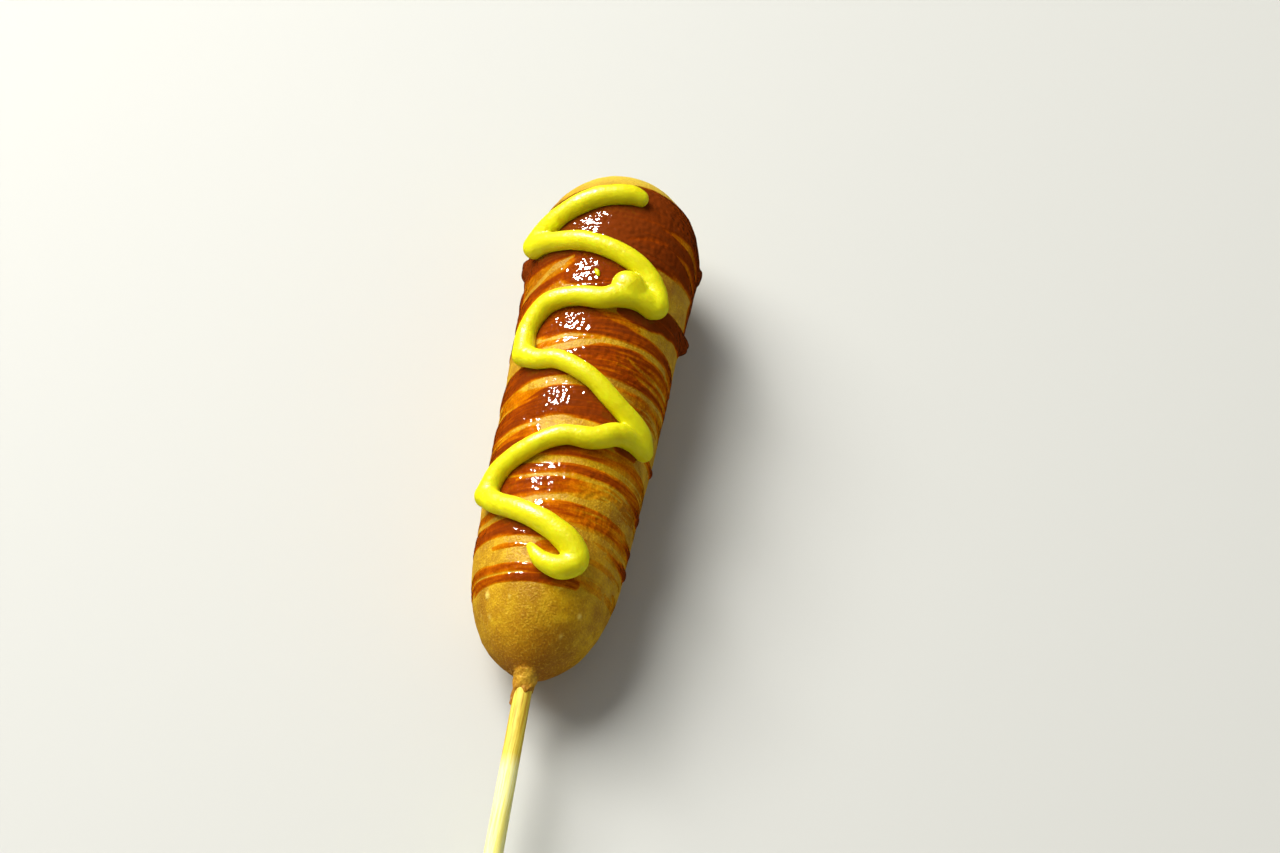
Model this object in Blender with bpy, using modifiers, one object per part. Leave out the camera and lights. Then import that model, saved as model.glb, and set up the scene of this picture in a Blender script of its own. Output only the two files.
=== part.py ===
"""A corn dog on a bamboo stick, lying along +Y with its mustard side up.

The fried batter is one long rounded body, fatter towards the tip, that closes
round the stick in a short uneven neck. A bead of mustard zigzags along its
top. The origin is the middle of the flat spot that the body rests on.
All sizes are in metres and all angles in degrees.

Places on the body are given by two numbers: the station, which is the
distance along the body's axis from its pole at the stick end, and the angle
round the axis, which is 0 on top and grows towards +X.
"""
import math

import bmesh
import bpy
from mathutils import Vector

# Fried batter: a straight taper with a dome at each end.
BODY_LENGTH = 0.140
STICK_END_RADIUS = 0.0179
TIP_END_RADIUS = 0.0214
STICK_END_DOME = 0.030
TIP_END_DOME = 0.025
LUMP_HEIGHT = 0.00022
BODY_SIDES = 48
BARREL_STEP = 0.006
DOME_STEP_DEG = 7.5

# Neck of batter drawn out along the stick, with one longer drip.
NECK_RADIUS = 0.0029
NECK_LENGTH = 0.0040
NECK_STEPS = 5
NECK_BLEND_POWER = 4
DRIP_LENGTH = 0.0040
DRIP_ANGLE_DEG = -80
DRIP_SPREAD_DEG = 22

# Flat spot that the body rests on.
FLAT_DEPTH = 0.0006
REST_STATION = 0.072

# Bamboo stick, which leans a little to +X of the body's axis.
STICK_RADIUS = 0.00225
STICK_OUTSIDE = 0.085
STICK_INSIDE = 0.065
STICK_LEAN_DEG = 1.8
STICK_PIVOT_STATION = 0.006
STICK_SIDES = 32
STICK_END_ROUNDING = 0.0004

# Touching pieces keep this gap.
GAP = 0.0003

# Mustard bead. Each stroke is a route of stations (mm), angles (degrees) and
# bead radii (mm), and ends where the next one starts.
MUSTARD_STROKES = {
    "stroke_1": [(122.4, 7, 2.3), (122.4, 0, 2.6), (120.2, -20, 2.7), (116.2, -40, 2.6),
                 (112.6, -54, 2.7), (109.3, -62, 3.0)],
    "stroke_2": [(109.3, -62, 3.0), (108.3, -42, 2.5), (107.2, -20, 2.5), (105, 2, 2.6),
                 (102, 18.5, 2.7), (98, 28, 3.0), (94, 31, 3.4)],
    "stroke_3": [(94, 31, 3.4), (93.9, 20, 3.0), (93.2, 7, 3.0), (91.5, -3, 2.7),
                 (91.4, -22, 2.5), (89.3, -41, 2.6), (83, -52, 2.5), (76, -50, 3.0)],
    "stroke_4": [(76, -50, 3.0), (74, -38, 2.5), (73.4, -22, 2.4), (69.7, 0, 2.4),
                 (65, 20, 2.4), (61, 42, 2.6), (57.3, 52, 2.4)],
    "stroke_5": [(57.3, 52, 2.4), (57.6, 38, 2.5), (57.2, 26, 2.9), (53.9, 10, 2.7),
                 (53.2, -10, 2.45), (49.7, -30, 2.4), (44.5, -52, 2.5), (38.6, -61.5, 2.9)],
    "stroke_6": [(38.6, -61.5, 2.9), (35.4, -48, 2.7), (33, -30, 2.7), (29.6, -8, 2.9),
                 (25.7, 11, 3.2), (22.2, 16.5, 3.2), (20.1, 7, 2.8), (21, -6, 2.2),
                 (24, -16, 1.1)],
}
MUSTARD_HUMP = (96, 11.5, 3.9)
HUMP_LIFT = 0.55
BEAD_LIFT = 0.7
BEAD_CURVE_STEPS = 4
BEAD_BEVEL_RESOLUTION = 3
BALL_SEGMENTS = 14
BALL_RINGS = 10
BALL_GROWTH = 1.04

MM = 0.001


def body_radius(station):
    """Radius of the batter: a straight taper, rounded to an ellipse at each end."""
    barrel = BODY_LENGTH - STICK_END_DOME - TIP_END_DOME
    along = min(max((station - STICK_END_DOME) / barrel, 0), 1)
    radius = STICK_END_RADIUS + (TIP_END_RADIUS - STICK_END_RADIUS) * along
    stick_end = min(max(1 - station / STICK_END_DOME, 0), 1)
    tip_end = min(max(1 - (BODY_LENGTH - station) / TIP_END_DOME, 0), 1)
    return radius * math.sqrt(1 - stick_end**2) * math.sqrt(1 - tip_end**2)


def lumps(station, angle):
    """Soft unevenness of the batter, fading out at the two poles."""
    fade = math.sin(math.pi * min(max(station / BODY_LENGTH, 0), 1))
    long_wave = math.sin(2 * angle + 1.1) * math.sin(2 * math.pi * station / 0.083 + 0.4)
    short_wave = math.sin(3 * angle - 0.7) * math.sin(2 * math.pi * station / 0.047 + 2.0)
    return LUMP_HEIGHT * fade * (long_wave + 0.6 * short_wave)


def neck_reach(angle):
    """How far the neck's ragged end reaches from the pole at this angle."""
    waves = 1 + 0.16 * math.cos(angle) + 0.12 * math.sin(3 * angle + 0.5)
    from_drip = (math.degrees(angle) - DRIP_ANGLE_DEG) / DRIP_SPREAD_DEG
    return NECK_LENGTH * waves + DRIP_LENGTH * math.exp(-from_drip**2)


def lean_shift(station):
    """Sideways place of the stick's axis, which the neck follows."""
    return max(STICK_PIVOT_STATION - station, 0) * math.tan(math.radians(STICK_LEAN_DEG))


def body_profile():
    """Profile points (radius, station) from the tip's pole to the neck's end."""
    dome_steps = round(90 / DOME_STEP_DEG)
    dome_angles = [math.radians(i * DOME_STEP_DEG) for i in range(dome_steps + 1)]
    barrel = BODY_LENGTH - STICK_END_DOME - TIP_END_DOME
    barrel_steps = round(barrel / BARREL_STEP)
    stations = [BODY_LENGTH - TIP_END_DOME * (1 - math.cos(a)) for a in dome_angles]
    stations += [BODY_LENGTH - TIP_END_DOME - barrel * i / barrel_steps for i in range(1, barrel_steps)]
    stations += [STICK_END_DOME * (1 - math.cos(a)) for a in reversed(dome_angles)]
    profile = []
    for station in stations:
        radius = body_radius(station)
        if station < STICK_END_DOME / 2:
            powers = radius**NECK_BLEND_POWER + NECK_RADIUS**NECK_BLEND_POWER
            radius = powers ** (1 / NECK_BLEND_POWER)
        profile.append((radius, station))
    profile += [(NECK_RADIUS, -NECK_LENGTH * i / NECK_STEPS) for i in range(1, NECK_STEPS + 1)]
    profile.append((0, -NECK_LENGTH))
    return profile


def surface_point(station, angle, height):
    """Point at a height above the batter's surface, in the body's own axes."""
    step = 0.0002
    slope = (body_radius(station + step) - body_radius(station - step)) / (2 * step)
    outward = Vector((math.sin(angle), -math.cos(angle), -slope)).normalized()
    radius = body_radius(station) + lumps(station, angle)
    return Vector((radius * math.sin(angle), -radius * math.cos(angle), station)) + outward * height


def principled(name, colour, roughness):
    """Plain material of one colour."""
    material = bpy.data.materials.new(name)
    material.use_nodes = True
    shader = material.node_tree.nodes["Principled BSDF"]
    shader.inputs["Base Color"].default_value = (*colour, 1)
    shader.inputs["Roughness"].default_value = roughness
    shader.inputs["Metallic"].default_value = 0
    return material


def new_collection(name):
    """Collection in the scene."""
    collection = bpy.data.collections.new(name)
    bpy.context.scene.collection.children.link(collection)
    return collection


def add_object(name, data, collection, parent=None):
    """Object in a collection, placed in its parent's axes."""
    obj = bpy.data.objects.new(name, data)
    collection.objects.link(obj)
    obj.parent = parent
    return obj


def hide_as_tool(obj):
    """Mark a cutter: it shapes other pieces and is not a piece itself."""
    obj.display_type = "WIRE"
    obj.hide_render = True


def made_mesh(obj):
    """Evaluated mesh of a curve or modified object, with its seams welded."""
    depsgraph = bpy.context.evaluated_depsgraph_get()
    mesh = bpy.data.meshes.new_from_object(obj.evaluated_get(depsgraph))
    bm = bmesh.new()
    bm.from_mesh(mesh)
    bmesh.ops.remove_doubles(bm, verts=bm.verts, dist=1e-6)
    bm.to_mesh(mesh)
    bm.free()
    return mesh


def boolean(obj, name, operation, cutter=None, cutters=None):
    """Boolean modifier with one cutter or a collection of them."""
    modifier = obj.modifiers.new(name, "BOOLEAN")
    modifier.operation = operation
    modifier.solver = "EXACT"
    if cutters:
        modifier.operand_type = "COLLECTION"
        modifier.collection = cutters
    else:
        modifier.object = cutter


def turned_body(tools):
    """Batter body: the profile turned round its axis, then made uneven."""
    profile = body_profile()
    outline = bpy.data.meshes.new("batter_profile")
    edges = [(i, i + 1) for i in range(len(profile) - 1)]
    outline.from_pydata([(radius, 0, station) for radius, station in profile], edges, [])
    turned = add_object("batter_profile", outline, tools)
    screw = turned.modifiers.new("turn", "SCREW")
    screw.steps = BODY_SIDES
    screw.render_steps = BODY_SIDES
    screw.use_merge_vertices = True
    screw.merge_threshold = 1e-6
    mesh = made_mesh(turned)
    bpy.data.objects.remove(turned)
    for vertex in mesh.vertices:
        x, y, station = vertex.co
        radius = math.hypot(x, y)
        angle = math.atan2(x, -y)
        if radius > 0:
            wider = 1 + lumps(station, angle) / max(radius, NECK_RADIUS)
            x, y = x * wider, y * wider
        if station < 0:
            reach = neck_reach(angle) if radius > 0 else NECK_LENGTH
            station *= reach / NECK_LENGTH
        vertex.co = (x + lean_shift(station), y, station)
    return mesh


def stick_rod(name, radius, outside, inside, collection, frame):
    """Round rod on the stick's leaning axis, from outside the body to inside it."""
    bm = bmesh.new()
    bmesh.ops.create_cone(bm, cap_ends=True, segments=STICK_SIDES, radius1=radius,
                          radius2=radius, depth=outside + inside)
    mesh = bpy.data.meshes.new(name)
    bm.to_mesh(mesh)
    bm.free()
    rod = add_object(name, mesh, collection, frame)
    lean = math.radians(STICK_LEAN_DEG)
    middle = (inside - outside) / 2 - STICK_PIVOT_STATION
    rod.location = (-middle * math.sin(lean), 0, STICK_PIVOT_STATION + middle * math.cos(lean))
    rod.rotation_euler = (0, -lean, 0)
    return rod


def bead_stroke(name, route, collection, frame):
    """One stroke of the bead: a round curve that follows the body's surface."""
    curve = bpy.data.curves.new(name, "CURVE")
    curve.dimensions = "3D"
    curve.resolution_u = BEAD_CURVE_STEPS
    curve.bevel_depth = MM
    curve.bevel_resolution = BEAD_BEVEL_RESOLUTION
    curve.use_fill_caps = True
    spline = curve.splines.new("BEZIER")
    spline.bezier_points.add(len(route) - 1)
    for point, (station, angle, radius) in zip(spline.bezier_points, route):
        point.co = surface_point(station * MM, math.radians(angle), radius * MM * BEAD_LIFT)
        point.radius = radius
        point.handle_left_type = "AUTO"
        point.handle_right_type = "AUTO"
    drawn = add_object(name + "_curve", curve, collection)
    stroke = add_object(name, made_mesh(drawn), collection, frame)
    bpy.data.objects.remove(drawn)
    return stroke


def bead_ball(name, place, lift, collection, frame):
    """Round end of a stroke, or a hump where the bead is thickest."""
    station, angle, radius = place
    bm = bmesh.new()
    bmesh.ops.create_uvsphere(bm, u_segments=BALL_SEGMENTS, v_segments=BALL_RINGS,
                              radius=radius * MM * BALL_GROWTH)
    mesh = bpy.data.meshes.new(name)
    bm.to_mesh(mesh)
    bm.free()
    ball = add_object(name, mesh, collection, frame)
    ball.location = surface_point(station * MM, math.radians(angle), radius * MM * lift)
    ball.rotation_euler = (math.radians(station), math.radians(angle), 0)
    return ball


def build_frame(collection):
    """Empty that lays the body down: its lower side runs level along +Y."""
    barrel = BODY_LENGTH - STICK_END_DOME - TIP_END_DOME
    tilt = math.atan((TIP_END_RADIUS - STICK_END_RADIUS) / barrel)
    frame = add_object("lying_frame", None, collection)
    along = REST_STATION * math.cos(tilt) + body_radius(REST_STATION) * math.sin(tilt)
    axis_height = STICK_END_RADIUS * math.cos(tilt) - STICK_END_DOME * math.sin(tilt)
    frame.location = (0, -along, axis_height - FLAT_DEPTH)
    frame.rotation_euler = (tilt - math.pi / 2, 0, 0)
    return frame


def build_batter(body, collection, tools, frame):
    """Batter with the stick's socket and the flat spot cut."""
    batter = add_object("batter", body, collection, frame)
    socket = stick_rod("socket", STICK_RADIUS + GAP, STICK_OUTSIDE, STICK_INSIDE + GAP, tools, frame)
    hide_as_tool(socket)
    boolean(batter, "socket", "DIFFERENCE", socket)
    bm = bmesh.new()
    bmesh.ops.create_cube(bm, size=2 * BODY_LENGTH)
    slab = bpy.data.meshes.new("floor_cut")
    bm.to_mesh(slab)
    bm.free()
    floor_cut = add_object("floor_cut", slab, tools)
    floor_cut.location = (0, 0, -BODY_LENGTH)
    hide_as_tool(floor_cut)
    boolean(batter, "flat_spot", "DIFFERENCE", floor_cut)
    batter.data.materials.append(principled("fried_batter", (0.50, 0.25, 0.035), 0.55))
    return batter


def build_stick(collection, frame):
    """Bamboo stick with softened ends."""
    stick = stick_rod("stick", STICK_RADIUS, STICK_OUTSIDE, STICK_INSIDE, collection, frame)
    rounding = stick.modifiers.new("soft_ends", "BEVEL")
    rounding.width = STICK_END_ROUNDING
    rounding.segments = 2
    rounding.limit_method = "ANGLE"
    rounding.angle_limit = math.radians(60)
    stick.data.materials.append(principled("bamboo", (0.72, 0.56, 0.22), 0.6))
    return stick


def build_mustard(body, collection, tools, frame):
    """Mustard bead: the strokes and balls joined, then hollowed to sit on the batter."""
    joined = bpy.data.collections.new("mustard_shapes")
    tools.children.link(joined)
    first, *others = MUSTARD_STROKES
    mustard = bead_stroke("mustard", MUSTARD_STROKES[first], collection, frame)
    for name in others:
        hide_as_tool(bead_stroke(name, MUSTARD_STROKES[name], joined, frame))
    hide_as_tool(bead_ball("hump", MUSTARD_HUMP, HUMP_LIFT, joined, frame))
    ends = [MUSTARD_STROKES[first][0]] + [route[-1] for route in MUSTARD_STROKES.values()]
    for number, end in enumerate(ends):
        hide_as_tool(bead_ball(f"end_{number}", end, BEAD_LIFT, joined, frame))
    boolean(mustard, "join_strokes", "UNION", cutters=joined)

    grown = body.copy()
    offsets = [vertex.normal * GAP for vertex in grown.vertices]
    for vertex, offset in zip(grown.vertices, offsets):
        vertex.co += offset
    seat = add_object("mustard_seat", grown, tools, frame)
    hide_as_tool(seat)
    boolean(mustard, "sit_on_batter", "DIFFERENCE", seat)
    mustard.data.materials.append(principled("mustard", (0.80, 0.68, 0.01), 0.35))
    return mustard


def build():
    """Corn dog of three pieces: batter, stick and mustard."""
    for obj in list(bpy.data.objects):
        bpy.data.objects.remove(obj)
    corn_dog = new_collection("corn_dog")
    tools = new_collection("cutters")
    frame = build_frame(tools)
    body = turned_body(tools)
    batter = build_batter(body, corn_dog, tools, frame)
    stick = build_stick(corn_dog, frame)
    mustard = build_mustard(body, corn_dog, tools, frame)
    for piece in (batter, stick, mustard):
        piece.data.shade_smooth()
        piece.data.set_sharp_from_angle(angle=math.radians(40))


build()
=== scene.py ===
import math

import bpy
import numpy as np
from mathutils import Matrix, Vector


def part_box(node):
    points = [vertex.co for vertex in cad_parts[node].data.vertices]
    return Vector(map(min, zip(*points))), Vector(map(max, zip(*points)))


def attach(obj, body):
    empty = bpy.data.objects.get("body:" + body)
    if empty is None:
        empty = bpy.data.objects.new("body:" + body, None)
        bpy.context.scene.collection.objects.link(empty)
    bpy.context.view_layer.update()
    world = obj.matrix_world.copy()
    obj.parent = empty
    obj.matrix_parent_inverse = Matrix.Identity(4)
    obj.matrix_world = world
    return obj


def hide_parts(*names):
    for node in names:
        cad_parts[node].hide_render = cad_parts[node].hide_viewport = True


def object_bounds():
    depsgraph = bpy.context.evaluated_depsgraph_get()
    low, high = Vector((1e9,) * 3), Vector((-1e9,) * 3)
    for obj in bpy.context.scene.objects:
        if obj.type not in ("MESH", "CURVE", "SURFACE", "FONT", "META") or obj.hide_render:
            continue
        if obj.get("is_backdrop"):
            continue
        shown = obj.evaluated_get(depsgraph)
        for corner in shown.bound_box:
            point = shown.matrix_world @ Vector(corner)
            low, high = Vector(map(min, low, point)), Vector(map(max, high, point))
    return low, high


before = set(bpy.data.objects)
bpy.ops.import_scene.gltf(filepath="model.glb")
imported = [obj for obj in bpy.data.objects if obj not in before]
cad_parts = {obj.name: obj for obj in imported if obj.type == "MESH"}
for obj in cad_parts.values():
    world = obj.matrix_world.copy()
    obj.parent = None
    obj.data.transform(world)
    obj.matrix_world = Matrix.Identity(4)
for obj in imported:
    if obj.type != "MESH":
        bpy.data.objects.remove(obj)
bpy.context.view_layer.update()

# ---------------------------------------------------------------- fried batter
# A sausage on a stick dipped in thick cornmeal batter and deep fried. The
# crust is one golden skin with soft lumps, a fine fried grain and a few pale
# blisters. It settles flat where it lies, and a neck of batter that ran down
# the stick has set round it with a ragged end.
#
# Sizes are in millimetres here. A place on the body is a station, the distance
# along its axis from the stick-end pole, and an angle in radians round the
# axis, 0 on top and growing towards +X.
BODY_LENGTH = 140.0
FLAT_DEPTH = 0.6
STICK_END_RADIUS = 17.9
TIP_END_RADIUS = 21.4
STICK_END_DOME = 30.0
TIP_END_DOME = 25.0
LUMP_HEIGHT = 0.22
CRUST_WAVES = ((9.0, 0.10, 11), (3.4, 0.035, 12), (1.5, 0.022, 13))
# A blister is (station, angle in degrees, radius, height); more are strewn by a seed.
BLISTERS = [(13.9, -55, 1.1, 0.24), (12.3, 40, 0.9, 0.20), (16.5, 12, 0.7, 0.14), (12.8, -30, 0.6, 0.13),
            (17.0, -60, 0.7, 0.14)]
STREWN_BLISTERS = 90
SKIN_ROWS = 330
SKIN_COLUMNS = 280
NECK_ROWS = 22
FLAT_SOFTNESS = 0.12

NECK_RADIUS = 2.5
NECK_ROOT_RADIUS = 3.0
NECK_TOP_LUMP = 1.4
NECK_LENGTH = 3.8
NECK_BLEND_POWER = 4
NECK_ROUGHNESS = 0.26
DRIP_LENGTH = 4.0
DRIP_ANGLE = math.radians(-80)
DRIP_SPREAD = math.radians(22)
LIP_LENGTH = 1.3
LIP_DEPTH = 0.3
STICK_RADIUS = 2.25
STICK_LEAN = math.radians(1.8)
STICK_PIVOT = 6.0
MM = 0.001

batter_low, batter_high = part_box("batter")
barrel_length = BODY_LENGTH - STICK_END_DOME - TIP_END_DOME
body_tilt = math.atan((TIP_END_RADIUS - STICK_END_RADIUS) / barrel_length)
axis_origin_y = batter_high.y / MM - BODY_LENGTH * math.cos(body_tilt)
axis_origin_z = (STICK_END_RADIUS * math.cos(body_tilt) - STICK_END_DOME * math.sin(body_tilt)
                 - FLAT_DEPTH + batter_low.z / MM)


def to_frame(points):
    """Points in the body's axes, mm (x across, y down, station), to the row frame in metres.

    The neck bends towards the leaning stick, the axis tilts so that the
    underside is level, and what would be under the floor is pressed flat by
    (z + sqrt(z^2 + softness^2)) / 2.
    """
    x, down, station = points[..., 0], points[..., 1], points[..., 2]
    x = x + np.maximum(STICK_PIVOT - station, 0) * math.tan(STICK_LEAN)
    sine, cosine = math.sin(body_tilt), math.cos(body_tilt)
    y = axis_origin_y + station * cosine + down * sine
    z = axis_origin_z + station * sine - down * cosine
    z = (z + np.sqrt(z * z + FLAT_SOFTNESS**2)) / 2
    return np.stack([x, y, z], axis=-1) * MM


def body_radius(station):
    """Straight taper from the stick end to the tip, times an elliptical dome at each end."""
    along = np.clip((station - STICK_END_DOME) / barrel_length, 0, 1)
    radius = STICK_END_RADIUS + (TIP_END_RADIUS - STICK_END_RADIUS) * along
    stick_end = np.clip(1 - station / STICK_END_DOME, 0, 1)
    tip_end = np.clip(1 - (BODY_LENGTH - station) / TIP_END_DOME, 0, 1)
    return radius * np.sqrt(1 - stick_end**2) * np.sqrt(1 - tip_end**2)


def lumps(station, angle):
    """Soft lumps: two products of a wave round the body and a wave along it."""
    fade = np.sin(np.pi * np.clip(station / BODY_LENGTH, 0, 1))
    long_wave = np.sin(2 * angle + 1.1) * np.sin(2 * np.pi * station / 83 + 0.4)
    short_wave = np.sin(3 * angle - 0.7) * np.sin(2 * np.pi * station / 47 + 2.0)
    return LUMP_HEIGHT * fade * (long_wave + 0.6 * short_wave)


def wave_noise(points, wavelength, seed, waves=28):
    """Even noise, about -1 to 1: a sum of plane waves of one wavelength in random directions."""
    random = np.random.default_rng(seed)
    directions = random.normal(size=(waves, 3))
    directions /= np.linalg.norm(directions, axis=1, keepdims=True)
    phases = random.uniform(0, 2 * np.pi, waves)
    total = np.zeros(points.shape[:-1])
    for direction, phase in zip(directions, phases):
        total += np.sin(points @ direction * (2 * np.pi / wavelength) + phase)
    return total / math.sqrt(2 * waves)


def blisters(station, angle):
    """Height of the blisters: round bumps (1 - (distance / radius)^2)^2, each at its place."""
    random = np.random.default_rng(51)
    strewn = np.stack([random.uniform(3, 137, STREWN_BLISTERS), random.uniform(-180, 180, STREWN_BLISTERS),
                       random.uniform(0.35, 0.85, STREWN_BLISTERS), random.uniform(0.05, 0.13, STREWN_BLISTERS)],
                      axis=-1)
    total = 0 * station + 0 * angle
    for place, degrees, radius, height in np.concatenate([BLISTERS, strewn]):
        turn = np.angle(np.exp(1j * (angle - math.radians(degrees)))) * body_radius(place)
        away = ((station - place) ** 2 + turn**2) / radius**2
        total = np.maximum(total, height * np.clip(1 - away, 0, 1) ** 2)
    return total


def skin_points(station, angle, height=0.0):
    """Points on the crust, raised by a height along its outward direction.

    The body is turned from its radius, the lumps are added to the radius, and
    the crust's relief is a sum of noises of shrinking wavelength and the blisters.
    """
    step = 0.2
    slope = (body_radius(station + step) - body_radius(station - step)) / (2 * step)
    radius = body_radius(station) + lumps(station, angle)
    outward = np.stack([np.sin(angle), -np.cos(angle), -slope + 0 * angle], axis=-1)
    outward /= np.linalg.norm(outward, axis=-1, keepdims=True)
    points = np.stack([radius * np.sin(angle), -radius * np.cos(angle), station + 0 * angle], axis=-1)
    relief = sum(size * wave_noise(points, length, seed) for length, size, seed in CRUST_WAVES)
    relief = relief + blisters(station, angle)
    return points + outward * (relief + height)[..., None]


def grid_faces(rows, columns, wrap):
    """Quads of a rows by columns grid of points, closed round its columns if wrap is set."""
    row = np.arange(rows - 1)[:, None]
    column = np.arange(columns if wrap else columns - 1)[None, :]
    after = (column + 1) % columns
    quads = [row * columns + column, (row + 1) * columns + column,
             (row + 1) * columns + after, row * columns + after]
    return np.stack(np.broadcast_arrays(*quads), axis=-1).reshape(-1, 4)


def mesh_object(name, points, faces, attributes=None):
    """Smooth-shaded object from arrays: points in metres, faces as lists of corners."""
    mesh = bpy.data.meshes.new(name)
    mesh.from_pydata(points.reshape(-1, 3).tolist(), [], faces)
    for label, values in (attributes or {}).items():
        layer = mesh.attributes.new(label, "FLOAT", "POINT")
        layer.data.foreach_set("value", np.ascontiguousarray(values, np.float32).ravel())
    mesh.shade_smooth()
    piece = bpy.data.objects.new(name, mesh)
    bpy.context.scene.collection.objects.link(piece)
    return piece


def add_node(tree, kind, links=None, values=None, **settings):
    """Shader node with its settings, the values of its sockets and the sockets linked into it."""
    node = tree.nodes.new("ShaderNode" + kind)
    for label, value in settings.items():
        setattr(node, label, value)
    for socket, value in (values or {}).items():
        node.inputs[socket].default_value = value
    for socket, source in (links or {}).items():
        tree.links.new(source, node.inputs[socket])
    return node


def new_material(name, **values):
    """Material with a Principled BSDF whose constant values are set on its own sockets."""
    material = bpy.data.materials.new(name)
    material.use_nodes = True
    shader = material.node_tree.nodes["Principled BSDF"]
    for socket, value in values.items():
        shader.inputs[socket.replace("_", " ")].default_value = value
    return material, material.node_tree, shader


def srgb(red, green, blue):
    """Linear colour with alpha from display values of 0 to 255."""
    channel = [v / 255 for v in (red, green, blue)]
    return tuple(v / 12.92 if v <= 0.04045 else ((v + 0.055) / 1.055) ** 2.4 for v in channel) + (1.0,)


def colour_ramp(tree, factor, stops):
    """Colour ramp over a factor, from (position, colour) stops."""
    ramp = add_node(tree, "ValToRGB", {"Fac": factor})
    elements = ramp.color_ramp.elements
    while len(elements) < len(stops):
        elements.new(0.5)
    for element, (position, colour) in zip(elements, stops):
        element.position = position
        element.color = colour
    return ramp.outputs["Color"]


def mix_colour(tree, factor, first, second, blend="MIX"):
    """Mix of two colours, each a socket or a constant."""
    mix = add_node(tree, "Mix", data_type="RGBA", blend_type=blend, clamp_factor=True)
    for index, source in ((0, factor), (6, first), (7, second)):
        if hasattr(source, "is_output"):
            tree.links.new(source, mix.inputs[index])
        else:
            mix.inputs[index].default_value = source
    return mix.outputs[2]


def noise_in_mm(tree, wavelength, detail=3.0, roughness=0.55, stretch=(1, 1, 1), vector=None):
    """Noise whose features are about one wavelength, in mm, on Object coordinates."""
    if vector is None:
        vector = add_node(tree, "TexCoord").outputs["Object"]
    scale = [1000 * value for value in stretch]
    placed = add_node(tree, "Mapping", {"Vector": vector}, {"Scale": scale})
    noise = add_node(tree, "TexNoise", {"Vector": placed.outputs[0]},
                     {"Scale": 1 / wavelength, "Detail": detail, "Roughness": roughness})
    return noise.outputs["Fac"]


def neck_root(angle):
    """Radius of the neck where it leaves the body: round, with a lump of batter on top."""
    return NECK_ROOT_RADIUS + NECK_TOP_LUMP * np.clip(np.cos(angle), 0, 1) ** 2


def neck_reach(angle):
    """How far the neck's ragged end reaches from the pole: waves round it and one long drip."""
    waves = 1 + 0.16 * np.cos(angle) + 0.12 * np.sin(3 * angle + 0.5) + 0.06 * np.sin(7 * angle)
    return NECK_LENGTH * waves + DRIP_LENGTH * np.exp(-(((angle - DRIP_ANGLE) / DRIP_SPREAD) ** 2))


def build_skin():
    """Rings of the whole crust, from the tip's pole to inside the stick, and their blisters.

    Rows follow the profile at even spacing: dome, barrel, dome, where the
    radius blends into the neck's as the 4th-power mean, then the neck, whose
    rows stretch to its ragged end, and a lip that rounds in to the stick.
    """
    quarter = np.linspace(0, np.pi / 2, 60)
    stations = np.concatenate([
        BODY_LENGTH - TIP_END_DOME * (1 - np.cos(quarter)),
        np.linspace(BODY_LENGTH - TIP_END_DOME, STICK_END_DOME, 120)[1:-1],
        STICK_END_DOME * (1 - np.cos(quarter[::-1])),
    ])
    radii = body_radius(stations)
    length = np.concatenate([[0], np.cumsum(np.hypot(np.diff(stations), np.diff(radii)))])
    even = np.linspace(0, length[-1], SKIN_ROWS - NECK_ROWS)[1:]
    station = np.interp(even, length, stations)[:, None]
    angle = np.linspace(-np.pi, np.pi, SKIN_COLUMNS, endpoint=False)[None, :]
    points = skin_points(station, angle + 0 * station)
    radius = np.hypot(points[..., 0], points[..., 1])
    blended = (radius**NECK_BLEND_POWER + neck_root(angle) ** NECK_BLEND_POWER) ** (1 / NECK_BLEND_POWER)
    near_neck = np.clip(1 - station / (STICK_END_DOME / 2), 0, 1)
    blended = radius + (blended - radius) * (near_neck > 0)
    points[..., 0] = blended * np.sin(angle)
    points[..., 1] = -blended * np.cos(angle)

    along = np.linspace(0, 1, NECK_ROWS)[1:, None]
    reach = neck_reach(angle)
    from_end = (1 - along) * reach
    lip = np.clip(1 - from_end / LIP_LENGTH, 0, 1)
    taper = (1 - np.clip(along * reach / NECK_LENGTH, 0, 1)) ** 1.5
    neck_radius = NECK_RADIUS + (neck_root(angle) - NECK_RADIUS) * taper
    neck_radius = neck_radius - (neck_radius - STICK_RADIUS + LIP_DEPTH) * (1 - np.sqrt(1 - lip**2))
    neck = np.stack([neck_radius * np.sin(angle), -neck_radius * np.cos(angle), -along * reach], axis=-1)
    bumps = NECK_ROUGHNESS * wave_noise(neck, 2.4, 21) + 0.08 * wave_noise(neck, 1.1, 22)
    fade = np.sqrt(along * (1 - lip))
    neck[..., 0] += bumps * fade * np.sin(angle)
    neck[..., 1] -= bumps * fade * np.cos(angle)
    blister = np.concatenate([blisters(station, angle), 0 * neck[..., 0]])
    return np.concatenate([points, neck]), blister


rings, blister = build_skin()
rows, columns = rings.shape[:2]
poles = np.array([[0, 0, BODY_LENGTH], [0, 0, -NECK_LENGTH * 0.8]])
skin = np.concatenate([rings.reshape(-1, 3), poles])
first_pole, last_pole = rows * columns, rows * columns + 1
around = np.arange(columns)
beyond = (around + 1) % columns
last_row = (rows - 1) * columns
tip_fan = np.stack([np.full(columns, first_pole), around, beyond], axis=-1)
neck_fan = np.stack([np.full(columns, last_pole), last_row + beyond, last_row + around], axis=-1)
skin_faces = grid_faces(rows, columns, True).tolist() + tip_fan.tolist() + neck_fan.tolist()
blister = np.concatenate([blister.ravel(), [0, 0]])
batter = mesh_object("batter_crust", to_frame(skin), skin_faces, {"blister": blister})

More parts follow.
